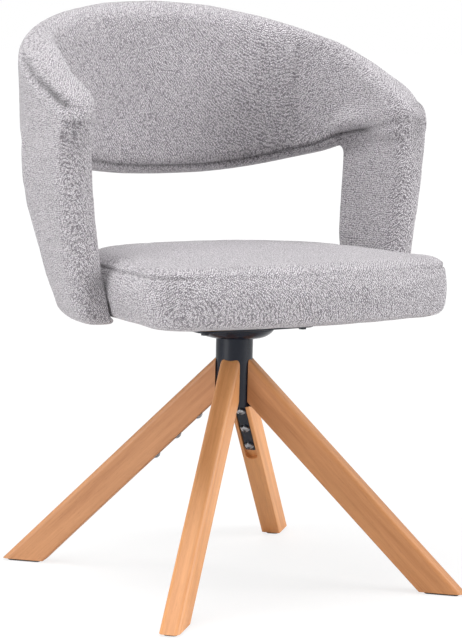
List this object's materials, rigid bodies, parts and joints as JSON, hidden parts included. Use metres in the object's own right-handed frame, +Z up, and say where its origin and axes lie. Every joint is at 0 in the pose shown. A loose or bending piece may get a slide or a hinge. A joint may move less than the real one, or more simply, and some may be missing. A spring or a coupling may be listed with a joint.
{
  "type": "swivel dining chair",
  "caption": "Swivel dining chair with a rounded padded back and arms, a padded seat and splayed wooden legs on a steel column.",
  "frame": {"origin": "on the floor under the axis of the swivel column", "axes": "+Z up along the swivel axis, -Y towards the front of the seat, +X towards the sitter's left"},
  "size_m": [0.5826, 0.4873, 0.787],
  "materials": {
    "beech": "oiled beech, fine grain",
    "glide_plastic": "moulded",
    "dark_steel": "fine powder coat",
    "zinc_screw": "bright zinc",
    "brass_insert": "turned",
    "bearing_plastic": "moulded",
    "bright_steel": "plain drawn",
    "plywood": "unfinished ply",
    "lining_cloth": "bonded lining",
    "grey_weave": "chunky flat weave"
  },
  "bodies": {
    "base": {"front_left_leg": "beech", "front_right_leg": "beech", "rear_right_leg": "beech", "rear_left_leg": "beech", "front_left_glide": "glide_plastic", "front_right_glide": "glide_plastic", "rear_right_glide": "glide_plastic", "rear_left_glide": "glide_plastic", "leg_spider": "dark_steel", "leg_screws": "zinc_screw", "leg_screw_washers": "zinc_screw", "leg_threaded_inserts": "brass_insert", "column_tube": "dark_steel", "upper_bush": "bearing_plastic", "lower_bush": "bearing_plastic", "thrust_washer": "bearing_plastic"},
    "seat": {"spindle": "bright_steel", "retaining_ring": "bright_steel", "bearing_cup": "dark_steel", "swivel_plate": "dark_steel", "plate_bolts": "zinc_screw", "tee_nuts": "zinc_screw", "tilt_wedge": "plywood", "seat_board": "plywood", "dust_cover": "lining_cloth", "seat_cushion": "grey_weave", "back_frame": "bright_steel", "frame_clamps": "bright_steel", "clamp_screws": "zinc_screw", "back_pad": "grey_weave", "back_outer_panel": "grey_weave", "left_arm_pad": "grey_weave", "right_arm_pad": "grey_weave"}
  },
  "joints": [
    {"name": "seat_swivel", "type": "hinge", "parent": "base", "child": "seat", "pos_m": [0, 0, 0.3], "axis": [0, 0, 1], "continuous": true}
  ]
}
